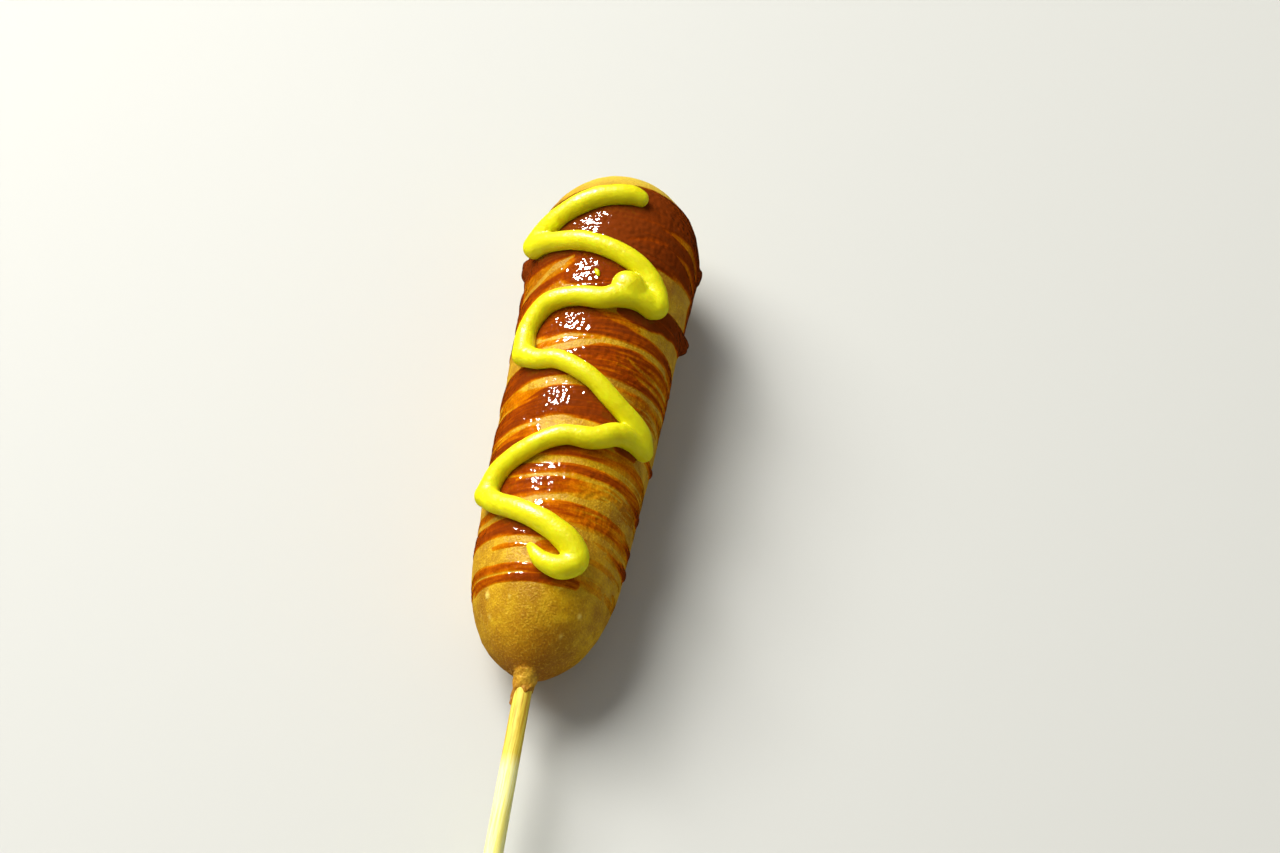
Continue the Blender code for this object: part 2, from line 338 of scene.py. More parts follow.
crust_group = bpy.data.node_groups.new("fried_crust", "ShaderNodeTree")
crust_group.interface.new_socket("Colour", in_out="OUTPUT", socket_type="NodeSocketColor")
crust_group.interface.new_socket("Grain", in_out="OUTPUT", socket_type="NodeSocketFloat")
broad = noise_in_mm(crust_group, 14.0, 2.0)
mottle = noise_in_mm(crust_group, 3.0, 3.0, 0.6)
fine = noise_in_mm(crust_group, 0.5, 2.0, 0.5)
golden = colour_ramp(crust_group, mottle, [(0.32, srgb(189, 138, 7)), (0.5, srgb(205, 157, 12)),
                                           (0.68, srgb(220, 177, 24))])
patches = colour_ramp(crust_group, broad, [(0.45, (0, 0, 0, 1)), (0.75, (1, 1, 1, 1))])
browning_and_painted_light = mix_colour(crust_group, patches, golden, srgb(160, 104, 12))
place = add_node(crust_group, "TexCoord").outputs["Object"]
place_y = add_node(crust_group, "SeparateXYZ", {"Vector": place}).outputs["Y"]
# Painted light: the crust is painted paler from 16 mm short of the tip end, fully so in its last 4 mm, to stand for
# its strongly lit rim.
painted_lit_tip = add_node(crust_group, "MapRange", {"Value": place_y},
                    {"From Min": batter_high.y - 0.016, "From Max": batter_high.y - 0.004}).outputs[0]
browning_and_painted_light = mix_colour(crust_group, painted_lit_tip, browning_and_painted_light, srgb(238, 212, 72))
# Darker brown over the last 9 mm round the stick-end pole: partly a browner crust, partly painted shade where the
# dome turns away from the light.
dome_end_brown_and_shade = add_node(crust_group, "MapRange", {"Value": place_y},
                    {"From Min": (axis_origin_y + 9) * MM, "From Max": axis_origin_y * MM}).outputs[0]
neck_part = add_node(crust_group, "MapRange", {"Value": place_y},
                     {"From Min": (axis_origin_y + 0.6) * MM, "From Max": (axis_origin_y - 1.2) * MM}).outputs[0]
browning_and_painted_light = mix_colour(crust_group, dome_end_brown_and_shade, browning_and_painted_light, srgb(166, 104, 8))
neck_end = add_node(crust_group, "MapRange", {"Value": place_y},
                    {"From Min": (axis_origin_y - 2.0) * MM, "From Max": (axis_origin_y - 4.5) * MM}).outputs[0]
neck_tone = colour_ramp(crust_group, mottle, [(0.38, srgb(176, 122, 20)), (0.62, srgb(226, 178, 52))])
browning_and_painted_light = mix_colour(crust_group, neck_part, browning_and_painted_light, neck_tone)
browning_and_painted_light = mix_colour(crust_group, neck_end, browning_and_painted_light, srgb(168, 108, 14))
speckled = colour_ramp(crust_group, fine, [(0.34, (0.74, 0.66, 0.5, 1)), (0.5, (0.95, 0.93, 0.88, 1)),
                                           (0.62, (1, 1, 1, 1))])
coloured = mix_colour(crust_group, 0.65, browning_and_painted_light, speckled, "MULTIPLY")
pinpoint = add_node(crust_group, "MapRange", {"Value": fine},
                    {"From Min": 0.56, "From Max": 0.74, "To Max": 0.35}).outputs[0]
coloured = mix_colour(crust_group, pinpoint, coloured, srgb(250, 214, 74))
crust_out = crust_group.nodes.new("NodeGroupOutput")
crust_group.links.new(coloured, crust_out.inputs["Colour"])
crust_group.links.new(fine, crust_out.inputs["Grain"])

material, tree, shader = new_material("fried_batter", Roughness=0.5, Specular_IOR_Level=0.14)
crust = tree.nodes.new("ShaderNodeGroup")
crust.node_tree = crust_group
raised = add_node(tree, "Attribute", attribute_name="blister").outputs["Fac"]
blister_share = add_node(tree, "MapRange", {"Value": raised}, {"From Max": 0.22, "To Max": 0.8}).outputs[0]
coloured = mix_colour(tree, blister_share, crust.outputs["Colour"], srgb(250, 226, 110))
tree.links.new(coloured, shader.inputs["Base Color"])
bump = add_node(tree, "Bump", {"Height": crust.outputs["Grain"]}, {"Strength": 0.6, "Distance": 0.0004})
tree.links.new(bump.outputs[0], shader.inputs["Normal"])
batter.data.materials.append(material)
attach(batter, "root")
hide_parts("batter")

# ---------------------------------------------------------------------- ketchup
# Thin tomato sauce squeezed to and fro across the crust. Each pass lies in a
# slanting plane and has dragged out into fine strands. Where it is thick it is
# rust red, where it is thin it is amber over the crust, and it ends in drips.
#
# A pass is: how much of it is cut into strands, how softly its tip side and its
# stick side end (mm), and its route, whose points are (station, angle in
# degrees, half width, thickness).
KETCHUP_PASSES = [
    # over the tip, with a lip on the right side and a run below it
    (0.10, 1.4, 1.3, [(112, -116, 4.5, 0.25), (114.5, -80, 5.5, 0.34), (116.3, -48, 8.3, 0.48),
                      (116.3, -20, 11.3, 0.56), (116.8, 5, 12.8, 0.56), (117.8, 30, 12.2, 0.50),
                      (118.5, 50, 11.8, 0.42), (118.7, 75, 11.3, 0.40), (117, 100, 10, 0.34), (115, 114, 6, 0.2)]),
    (0.00, 1.4, 1.4, [(115, 68, 0.5, 0.2), (117.3, 83, 1.8, 1.1), (117.3, 96, 1.6, 0.9)]),
    (0.10, 1.0, 1.0, [(104, 74, 1.0, 0.1), (104.5, 82, 7.0, 0.34), (105, 100, 8.0, 0.3)]),
    # between the first and the third stroke of mustard
    (0.10, 0.8, 2.2, [(107.5, -100, 2.7, 0.3), (107.0, -86, 3.9, 0.5), (106.2, -72, 3.5, 0.48),
                      (105.7, -60, 2.9, 0.48), (105.4, -40, 2.0, 0.5), (104.5, -22, 1.5, 0.5)]),
    (0.00, 1.4, 1.4, [(108, -97, 1.4, 0.8), (107.8, -84, 2.6, 1.5), (107, -70, 1.2, 0.5)]),
    (0.50, 1.5, 1.5, [(100, -100, 5.0, 0.15), (99.5, -75, 5.0, 0.10), (99.5, -60, 5.0, 0.09),
                      (100, -25, 4.5, 0.08)]),
    (0.12, 1.2, 1.2, [(98.5, -36, 1.6, 0.2), (99.8, -22, 4.2, 0.36), (100.5, -5, 4.5, 0.38), (100, 20, 4, 0.4)]),
    (0.20, 1.0, 1.2, [(92.5, -104, 3.0, 0.25), (93.5, -80, 3.0, 0.28), (95.2, -60, 2.1, 0.33),
                      (97.3, -45, 1.4, 0.30), (99.2, -33, 0.9, 0.25)]),
    # the thick run down the right side, and its round end
    (0.08, 0.9, 0.7, [(90.5, 8, 1.2, 0.5), (90.6, 26, 2.2, 0.6), (92.8, 45, 3.2, 0.6), (93.6, 62, 3.0, 0.65),
                      (95.2, 88, 2.6, 0.7)]),
    (0.00, 1.6, 1.6, [(94.2, 60, 0.6, 0.2), (95.2, 74, 1.6, 0.9), (96, 86, 1.8, 2.0), (96.2, 95, 1.4, 1.2)]),
    # below the third stroke
    (0.20, 0.9, 0.9, [(84.5, -100, 2.5, 0.26), (85.5, -45, 4.4, 0.34), (86.3, -20, 4.0, 0.38),
                      (85.2, 0, 2.9, 0.38), (84.5, 20, 2.0, 0.38), (84.5, 40, 1.55, 0.34), (84.2, 60, 1.4, 0.30),
                      (83.4, 80, 1.6, 0.28), (82, 104, 1.5, 0.2)]),
    (0.20, 0.8, 0.8, [(87.6, -12, 1.5, 0.17), (87.7, 10, 1.5, 0.17), (86.8, 28, 0.7, 0.12)]),
    (0.30, 0.4, 0.5, [(78.7, -46, 1.0, 0.12), (79.2, -30, 1.0, 0.12), (80.6, -15, 0.8, 0.11),
                      (81.9, 2, 0.4, 0.09)]),
    (0.45, 0.9, 1.5, [(74.8, -28, 1.2, 0.30), (75.9, -8, 2.5, 0.33), (76.2, 0, 3.4, 0.35), (76.2, 15, 4.6, 0.33),
                      (76.4, 45, 4.8, 0.30), (76.5, 60, 4.5, 0.26), (76, 80, 4.0, 0.24), (75, 108, 3, 0.2)]),
    (0.95, 1.0, 1.5, [(70, 12, 1.4, 0.16), (69.2, 35, 2.2, 0.16), (68.6, 60, 2.8, 0.15), (68, 98, 2.4, 0.15)]),
    # on both sides of the fourth stroke
    (0.10, 1.2, 0.7, [(69.6, -100, 2.6, 0.24), (69.9, -75, 3.4, 0.28), (70.8, -60, 3.4, 0.36),
                      (71.6, -45, 2.4, 0.42), (72.0, -28, 2.1, 0.44), (72.2, -12, 1.8, 0.44), (71.5, 5, 1.2, 0.4)]),
    (0.12, 1.0, 0.9, [(57.3, -110, 2.8, 0.26), (58.6, -75, 3.0, 0.28), (59.5, -60, 3.2, 0.30),
                      (60.9, -45, 3.4, 0.34), (62.6, -30, 4.0, 0.40), (63.6, -15, 4.0, 0.42), (63.6, 0, 4.1, 0.42),
                      (62.5, 15, 3.6, 0.40), (60.5, 34, 2.6, 0.34), (58.5, 60, 1.6, 0.2)]),
    (0.50, 0.8, 1.0, [(63.8, -82, 1.8, 0.13), (65.0, -60, 2.2, 0.13), (65.6, -45, 1.4, 0.13),
                      (66.2, -30, 0.6, 0.10)]),
    (0.55, 0.8, 0.8, [(52.8, -90, 2.0, 0.18), (53, -65, 2.2, 0.20), (54, -45, 1.9, 0.20), (55.5, -28, 1.2, 0.15)]),
    (0.20, 0.5, 0.5, [(51.4, -78, 1.0, 0.30), (52, -58, 1.0, 0.38), (53, -40, 0.6, 0.30)]),
    (0.10, 1.2, 1.2, [(56.4, 26, 1.6, 0.5), (56.2, 38, 2.2, 0.5), (56.0, 52, 1.6, 0.4)]),
    # below the fifth stroke
    (0.40, 0.8, 0.8, [(49.8, -34, 1.2, 0.30), (50.8, -12, 1.7, 0.32), (51.2, 5, 1.9, 0.30), (51.5, 22, 1.9, 0.20),
                      (51.5, 40, 2.4, 0.13), (50.5, 65, 2.4, 0.11), (50, 96, 2, 0.1)]),
    (0.15, 0.5, 0.8, [(44.6, -66, 1.0, 0.30), (44.8, -40, 1.1, 0.32), (45.1, -20, 0.8, 0.30), (45.8, 0, 0.7, 0.28),
                      (46.2, 20, 1.1, 0.28), (46.5, 40, 1.2, 0.24), (46.3, 60, 1.2, 0.18), (45.6, 80, 1.2, 0.16),
                      (45, 102, 1, 0.12)]),
    (0.45, 0.8, 1.4, [(41, -66, 2, 0.26), (40.3, -45, 2.6, 0.30), (40.1, -30, 2.6, 0.30), (40.6, -15, 2.4, 0.28),
                      (41.2, 0, 2.0, 0.22), (41.6, 14, 1.5, 0.15), (42, 30, 0.8, 0.1)]),
    (1.00, 1.0, 1.5, [(42.2, -10, 3.0, 0.10), (42.2, 15, 3.6, 0.11), (42, 40, 3.6, 0.10), (41.5, 70, 3.4, 0.09),
                      (41, 98, 3, 0.08)]),
    (0.55, 0.7, 2.4, [(34.5, -24, 1.0, 0.25), (34.6, -8, 1.6, 0.25), (34.6, 5, 2.0, 0.24), (34.3, 20, 2.4, 0.22),
                      (34.4, 38, 2.5, 0.18), (33.8, 55, 2.4, 0.13), (33.5, 75, 2.1, 0.11), (33, 100, 1.8, 0.1)]),
    # round the curl at the end of the mustard
    (0.70, 0.6, 0.6, [(33.6, -90, 1.5, 0.15), (33.8, -62, 1.4, 0.15), (34.2, -46, 0.8, 0.1)]),
    (0.12, 0.8, 0.8, [(28.6, -104, 2.0, 0.22), (29, -80, 2.4, 0.26), (29.3, -60, 2.2, 0.32), (29.6, -45, 2.3, 0.38),
                      (29.6, -30, 2.4, 0.40), (28.6, -15, 1.5, 0.35), (27.5, 0, 0.8, 0.2)]),
    (0.10, 0.3, 0.3, [(24.6, -52, 0.4, 0.12), (24.7, -35, 0.6, 0.13), (24.6, -18, 0.5, 0.12), (25, -5, 1.3, 0.14),
                      (24.5, 8, 0.9, 0.14)]),
    (0.95, 0.8, 0.8, [(28.6, 18, 1.0, 0.10), (28.5, 50, 1.5, 0.10), (28, 86, 1.6, 0.08)]),
    (0.60, 0.5, 0.5, [(24.5, 26, 0.8, 0.08), (24.7, 50, 0.9, 0.08), (24.6, 80, 0.8, 0.06)]),
    (0.15, 0.5, 0.4, [(19.2, -98, 1.1, 0.16), (19.3, -60, 1.15, 0.18), (19.5, -30, 1.15, 0.20),
                      (19.3, -10, 1.2, 0.24), (18.7, 8, 1.4, 0.26), (18.8, 22, 1.3, 0.20)]),
    (0.75, 1.0, 1.0, [(18.8, 16, 1.4, 0.12), (19.6, 40, 1.8, 0.11), (20, 60, 1.7, 0.10), (20, 92, 1.4, 0.09)]),
    # thin runs down the right side, each to a drop
    (0.00, 0.8, 0.8, [(83.4, 56, 0.5, 0.08), (81.6, 70, 0.8, 0.16), (80.5, 86, 1.1, 0.35)]),
    (0.00, 0.8, 0.8, [(58.2, 50, 0.5, 0.08), (57.8, 66, 0.9, 0.18), (57.5, 84, 1.3, 0.45)]),
    (0.00, 0.8, 0.8, [(45.8, 46, 0.5, 0.08), (44.4, 62, 0.9, 0.16), (43.5, 82, 1.5, 0.45)]),
    (0.00, 0.8, 0.8, [(34.5, 46, 0.5, 0.08), (34.2, 62, 0.9, 0.16), (33.8, 80, 1.3, 0.40)]),
    (0.00, 0.8, 0.8, [(29.0, 44, 0.5, 0.08), (28.7, 60, 0.9, 0.16), (28.5, 81, 1.6, 0.45)]),
    (0.10, 0.3, 0.7, [(16.7, -98, 0.8, 0.20), (16.8, -60, 0.85, 0.22), (16.9, -35, 0.85, 0.25),
                      (17.1, -12, 1.0, 0.30), (17.4, 5, 1.2, 0.30), (18, 28, 1.0, 0.20)]),
]
# Places where the sauce has parted: a route whose points are (station, angle,
# half width, share of the sauce that is missing).
KETCHUP_PARTINGS = [
    [(95.8, -84, 0.8, 0.9), (98, -60, 0.8, 0.9), (101.5, -45, 0.9, 0.9), (104.3, -28, 0.6, 0.9)],
    [(99.3, -60, 0.3, 0.7), (100.2, -48, 0.4, 0.7), (102.2, -34, 0.3, 0.7)],
    [(117, 26, 0.3, 0.4), (117.6, 42, 0.8, 0.7), (117, 60, 1.3, 0.8), (113.5, 76, 0.9, 0.7)],
    [(112.5, 42, 0.3, 0.5), (112, 58, 0.8, 0.7), (109.5, 78, 0.6, 0.7)],
    [(110, 4, 0.4, 0.3), (112.5, 18, 0.7, 0.35), (113.5, 34, 0.4, 0.3)],
    [(78.6, 22, 0.2, 0.7), (77.2, 40, 0.7, 0.8), (76.6, 75, 0.9, 0.8)],
    [(75.4, 30, 0.2, 0.7), (74.9, 44, 0.5, 0.8), (74.4, 80, 0.5, 0.8)],
    [(71, 8, 0.5, 0.9), (71.4, 30, 0.5, 0.9), (71.8, 60, 0.7, 0.9), (72, 90, 0.6, 0.9)],
    [(61.8, -78, 0.4, 0.6), (62.6, -60, 0.6, 0.6), (63.4, -45, 0.5, 0.6), (64.4, -34, 0.3, 0.6)],
    [(53.6, -80, 0.4, 0.7), (54.6, -60, 0.5, 0.7), (56, -40, 0.4, 0.7)],
    [(41.9, -40, 0.25, 0.8), (43.2, -18, 0.35, 0.8), (44, 0, 0.25, 0.8)],
    [(32.6, -84, 0.4, 0.8), (32.4, -66, 0.5, 0.8), (33.2, -48, 0.4, 0.8)],
]
# A drop is (station, angle, radius, height).
KETCHUP_DROPS = [(98.0, -84, 3.0, 0.5), (80.5, 84, 1.0, 0.4), (57.5, 82, 1.3, 0.7), (43.5, 79, 1.6, 0.7),
                 (33.8, 77, 1.4, 0.6), (28.5, 78, 1.7, 0.8)]
HAZE = 0.022
EDGE_SOFTNESS = 1.5
HAZE_START = 21.0
HAZE_END = 127.0
SLANT_REACH = 4.4
SLANT_HIGHEST = math.radians(45)
SLANT_STATIONS = (16, 48, 80, 110, 132)
SLANT_SHARES = (0.35, 0.55, 1.0, 0.8, 0.3)
FILM_DIP = 0.04
FILM_UNDER = 0.25
FILM_ROW = 0.30
FILM_COLUMNS = 270
FILM_REACH = math.radians(122)
FILM_SPLITS = (14.5, 48.4, 80.4, 133.0)
SPLIT_WIDTH = 0.45


def slanted(level, angle):
    """Station of a line of sauce: its level, and the slant of its plane, a cosine round the body."""
    share = np.interp(level, SLANT_STATIONS, SLANT_SHARES)
    return level + share * SLANT_REACH * (np.cos(angle - SLANT_HIGHEST) - math.cos(SLANT_HIGHEST))


def smooth_route(route, step):
    """Catmull-Rom curve through a route's points, sampled about every step in mm."""
    knots = np.array(route, float)
    padded = np.vstack([2 * knots[0] - knots[1], knots, 2 * knots[-1] - knots[-2]])
    runs = []
    for before, start, end, after in zip(padded, padded[1:], padded[2:], padded[3:]):
        across = math.radians(end[1] - start[1]) * STICK_END_RADIUS
        count = max(2, round(math.hypot(end[0] - start[0], across) / step))
        t = np.linspace(0, 1, count, endpoint=False)[:, None]
        runs.append(0.5 * (2 * start + (end - before) * t
                           + (2 * before - 5 * start + 4 * end - after) * t**2
                           + (3 * start - before - 3 * end + after) * t**3))
    return np.vstack(runs + [knots[-1:]])


def rounded(distance, width):
    """0 outside an edge, rising like a quarter circle to 1 at a width inside it."""
    inside = np.clip(distance / width, 0, 1)
    return np.sqrt(1 - (1 - inside) ** 2)


def feathered(distance, width):
    """0 outside an edge, rising like an S to 1 at a width inside it."""
    inside = np.clip(distance / width, 0, 1)
    return inside**2 * (3 - 2 * inside)


def route_profile(station, degrees, route, soft_tip, soft_stick):
    """A route's last value at each place: feathered at its two sides, with round ends."""
    path = smooth_route(route, 1.0)
    centre = np.interp(degrees, path[:, 1], path[:, 0])
    half = np.interp(degrees, path[:, 1], path[:, 2])
    ends = np.minimum(degrees - path[0, 1], path[-1, 1] - degrees) * math.radians(1) * TIP_END_RADIUS
    half = half * rounded(ends, half)
    soft_tip, soft_stick = EDGE_SOFTNESS * soft_tip, EDGE_SOFTNESS * soft_stick
    tip_side = feathered(centre + half - station + soft_tip / 2, soft_tip)
    stick_side = feathered(station - centre + half + soft_stick / 2, soft_stick)
    return np.interp(degrees, path[:, 1], path[:, 3]) * tip_side * stick_side * (ends > 0)


def comb(angle):
    """How much the sauce is combed into strands: a third on the left, growing to all on the right."""
    return np.clip(0.35 + (np.degrees(angle) + 15) / 60, 0.35, 1)


def film_height(level, angle):
    """Thickness of the sauce in mm.

    The thickest pass at each place, its edges made ragged by noise, cut into
    strands by noise drawn out along the flow, thinned along the partings, with
    round drops added and a haze of sauce over the crust between them.
    """
    station = slanted(level, angle)
    degrees = np.degrees(angle)
    around = angle * STICK_END_RADIUS
    wander = wave_noise(np.stack([level / 9, around / 16, 0 * level], axis=-1), 1.0, 34)
    flow = np.stack([level + 0.8 * wander, around / 16, 0 * level], axis=-1)
    broad = wave_noise(flow, 3.1, 31)
    middle = wave_noise(flow, 1.5, 32)
    fine = wave_noise(flow * [1, 1.6, 1], 0.95, 33)
    strands = np.clip(0.5 + 0.35 * broad + 0.45 * middle + 0.35 * fine, 0, 1)
    ragged = 0.30 * broad + 0.30 * middle
    combed = comb(angle)
    haze = feathered(station - HAZE_START, 8.0) * feathered(HAZE_END - station, 2.0)
    total = HAZE * haze * (0.3 + 1.4 * strands)
    for stranded, soft_tip, soft_stick, route in KETCHUP_PASSES:
        laid = route_profile(station + ragged, degrees, route, soft_tip, soft_stick)
        cut = 1 - stranded * combed * strands
        total = np.maximum(total, laid * (cut + 0.12 * middle + 0.06 * fine))
    for route in KETCHUP_PARTINGS:
        total = total * (1 - route_profile(station + 0.5 * ragged, degrees, route, 0.5, 0.5))
    for centre, place, radius, height in KETCHUP_DROPS:
        away = np.hypot(station - centre, (degrees - place) * math.radians(1) * TIP_END_RADIUS)
        drop = height * np.sqrt(np.clip(1 - (away / radius) ** 2, 0, 1))
        total = np.maximum(total, drop)
    return np.clip(total, 0, None)


def film_piece(name, low, high):
    """Closed film between two levels: the sauce's top, and an underside just in the crust.

    Rows follow the flow. Where there is no sauce the top dips under the crust,
    so the film's edge is the line where it comes out, and squares with no sauce
    at any corner are left out.
    """
    rows = round((high - low) / FILM_ROW)
    level = np.linspace(low, high, rows)[:, None]
    angle = np.linspace(-FILM_REACH, FILM_REACH, FILM_COLUMNS)[None, :]
    level, angle = np.broadcast_arrays(level, angle)
    thick = film_height(level, angle)
    thick = thick * np.clip((level - low) / SPLIT_WIDTH, 0, 1) * np.clip((high - level) / SPLIT_WIDTH, 0, 1)
    thick = thick * np.clip((FILM_REACH - np.abs(angle)) / 0.03, 0, 1)
    station = slanted(level, angle)
    top = skin_points(station, angle, thick - FILM_DIP)
    under = skin_points(station, angle, np.full_like(thick, -FILM_UNDER))
    quads = grid_faces(rows, FILM_COLUMNS, False)
    quads = quads[thick.ravel()[quads].max(axis=1) > 0]
    count = thick.size
    edges = np.concatenate([quads[:, [a, b]] for a, b in ((0, 1), (1, 2), (2, 3), (3, 0))])
    keys = edges.min(axis=1) * count + edges.max(axis=1)
    _, index, uses = np.unique(keys, return_index=True, return_counts=True)
    rim = edges[index[uses == 1]]
    sides = np.stack([rim[:, 0], rim[:, 1], rim[:, 1] + count, rim[:, 0] + count], axis=-1)
    faces = np.concatenate([quads[:, ::-1], quads + count, sides])
    points = np.concatenate([top.reshape(-1, 3), under.reshape(-1, 3)])
    used, renumbered = np.unique(faces, return_inverse=True)
    faces = renumbered.reshape(faces.shape)
    film = np.concatenate([thick.ravel(), 0 * thick.ravel()])[used]
    along = np.concatenate([level.ravel(), level.ravel()])[used]
    around = np.concatenate([angle.ravel(), angle.ravel()])[used] * STICK_END_RADIUS
    combed = comb(around / STICK_END_RADIUS) * np.clip((112 - along) / 12, 0.2, 1)
    return mesh_object(name, to_frame(points[used]), faces.tolist(),
                       {"film": film, "combed": combed, "flow_along": along, "flow_around": around})


material, tree, shader = new_material("ketchup", IOR=1.42)
film = add_node(tree, "Attribute", attribute_name="film").outputs["Fac"]
along = add_node(tree, "Attribute", attribute_name="flow_along").outputs["Fac"]
around = add_node(tree, "Attribute", attribute_name="flow_around").outputs["Fac"]
flow = add_node(tree, "CombineXYZ", {"X": along, "Y": around}).outputs[0]
strands = add_node(tree, "TexNoise", {"Vector": add_node(
    tree, "Mapping", {"Vector": flow}, {"Scale": (1, 0.07, 1)}).outputs[0]},
    {"Scale": 1 / 0.8, "Detail": 2.0, "Roughness": 0.5, "Distortion": 0.4}).outputs["Fac"]
combed = add_node(tree, "Attribute", attribute_name="combed").outputs["Fac"]
swing = add_node(tree, "MapRange", {"Value": combed}, {"To Min": 0.7, "To Max": 2.7}).outputs[0]
lean = add_node(tree, "Math", {0: strands}, {1: 0.5}, operation="SUBTRACT").outputs[0]
share = add_node(tree, "Math", {0: lean, 1: swing}, {2: 1.0}, operation="MULTIPLY_ADD").outputs[0]
share = add_node(tree, "Math", {0: share}, {1: 0.08}, operation="MAXIMUM").outputs[0]
depth = add_node(tree, "Math", {0: share, 1: film}, operation="MULTIPLY").outputs[0]
crust = tree.nodes.new("ShaderNodeGroup")
crust.node_tree = crust_group
tint = colour_ramp(tree, depth, [(0.0, (1, 1, 1, 1)), (0.06, (1.0, 0.74, 0.35, 1)), (0.13, (0.92, 0.42, 0.12, 1)),
                                 (0.24, (0.66, 0.19, 0.07, 1)), (0.45, (0.40, 0.09, 0.05, 1))])
under_sauce = mix_colour(tree, 1.0, crust.outputs["Colour"], tint, "MULTIPLY")
cover = add_node(tree, "MapRange", {"Value": depth}, {"From Min": 0.14, "From Max": 0.52, "To Max": 0.95})
sauce = mix_colour(tree, cover.outputs[0], under_sauce, (0.19, 0.034, 0.004, 1))
tree.links.new(sauce, shader.inputs["Base Color"])
gloss = add_node(tree, "MapRange", {"Value": depth},
                 {"From Min": 0.02, "From Max": 0.12, "To Min": 0.25, "To Max": 0.07})
tree.links.new(gloss.outputs[0], shader.inputs["Roughness"])
ripple = noise_in_mm(tree, 1.3, 0.3, 0.5)
clusters = noise_in_mm(tree, 5.0, 2.0, 0.5)
rough_patch = add_node(tree, "MapRange", {"Value": clusters}, {"From Min": 0.42, "From Max": 0.6,
                                                              "To Min": 0.6, "To Max": 1.0}).outputs[0]
bump = add_node(tree, "Bump", {"Height": ripple, "Strength": rough_patch}, {"Distance": 0.00048})
tree.links.new(bump.outputs[0], shader.inputs["Normal"])
for name, low, high in zip(("ketchup_low", "ketchup_middle", "ketchup_tip"), FILM_SPLITS, FILM_SPLITS[1:]):
    ketchup = film_piece(name, low, high)
    ketchup.data.materials.append(material)
    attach(ketchup, "root")

# ---------------------------------------------------------------------- mustard
# Smooth yellow mustard squeezed from a round nozzle in one zigzag along the
# top. The strokes run into each other at the turns, where the bead is thickest,
# and the last one curls back to a point.
MUSTARD_STROKES = [
    [(122.4, 7, 2.3), (122.4, 0, 2.6), (120.2, -20, 2.7), (116.2, -40, 2.6), (112.6, -54, 2.7), (109.3, -62, 3.0)],
    [(109.3, -62, 3.0), (108.3, -42, 2.5), (107.2, -20, 2.5), (105, 2, 2.6), (102, 18.5, 2.7), (98, 28, 3.0),
     (94, 31, 3.4)],
    [(93.2, 29, 2.9), (93.9, 20, 3.0), (93.2, 7, 3.0), (91.5, -3, 2.7), (91.4, -22, 2.5), (89.3, -41, 2.6),
     (83, -52, 2.5), (76, -50, 3.0)],
    [(76, -50, 3.0), (74, -38, 2.5), (73.4, -22, 2.4), (69.7, 0, 2.4), (65, 20, 2.4), (61, 42, 2.6),
     (57.3, 52, 2.4)],
    [(57.3, 52, 2.4), (57.6, 38, 2.5), (57.2, 26, 2.9), (53.9, 10, 2.7), (53.2, -10, 2.45), (49.7, -30, 2.4),
     (44.5, -52, 2.5), (38.6, -61.5, 2.9)],
    [(38.6, -61.5, 2.9), (35.4, -48, 2.7), (33, -30, 2.7), (29.6, -8, 2.9), (25.7, 11, 3.2),
     (22.2, 16.5, 3.2), (20.1, 7, 2.8), (21.0, -6, 2.2), (24, -16, 1.1)],
]
MUSTARD_FLECK = [(100.0, -11.5, 0.55), (99.3, -10, 0.75), (98.6, -9, 0.6)]
MUSTARD_HUMP = [(96.2, 10, 3.9), (96.0, 11.5, 4.0), (95.2, 14.5, 3.7)]
BEAD_LIFT = 0.7
HUMP_LIFT = 0.55
BEAD_SIDES = 24
BEAD_STEP = 0.35
BEAD_VOXEL = 0.30


def bead_tube(route, lift):
    """Points and faces of a round bead carried along a route, with half-ball ends."""
    path = smooth_route(route, BEAD_STEP)
    swell = np.linspace(0, np.pi / 2, 7)[:-1]
    station, angle, radius = path[:, 0], np.radians(path[:, 1]), path[:, 2]
    centre = skin_points(station, angle, radius * lift)
    radius = radius * (1 + 0.025 * wave_noise(centre, 5.0, 61))
    heading = np.gradient(centre, axis=0)
    heading /= np.linalg.norm(heading, axis=1, keepdims=True)
    ends = [centre[:1] - heading[:1] * radius[0] * np.cos(swell)[:, None], centre,
            centre[-1:] + heading[-1:] * radius[-1] * np.sin(swell + swell[1])[:, None]]
    radius = np.concatenate([radius[0] * np.sin(swell), radius, radius[-1] * np.cos(swell + swell[1])])
    centre = np.vstack(ends)
    heading = np.vstack([np.repeat(heading[:1], len(swell), 0), heading,
                         np.repeat(heading[-1:], len(swell), 0)])
    up = centre * [1, 1, 0]
    up /= np.linalg.norm(up, axis=1, keepdims=True)
    side = np.cross(heading, up)
    side /= np.linalg.norm(side, axis=1, keepdims=True)
    up = np.cross(side, heading)
    turn = np.linspace(0, 2 * np.pi, BEAD_SIDES, endpoint=False)[None, :, None]
    ring = side[:, None] * np.cos(turn) + up[:, None] * np.sin(turn)
    points = centre[:, None] + ring * np.maximum(radius, 0.01)[:, None, None]
    rows, columns = points.shape[:2]
    faces = grid_faces(rows, columns, True).tolist()
    first = list(range(columns))
    last = [(rows - 1) * columns + i for i in range(columns)]
    return points.reshape(-1, 3), faces + [first, last[::-1]]


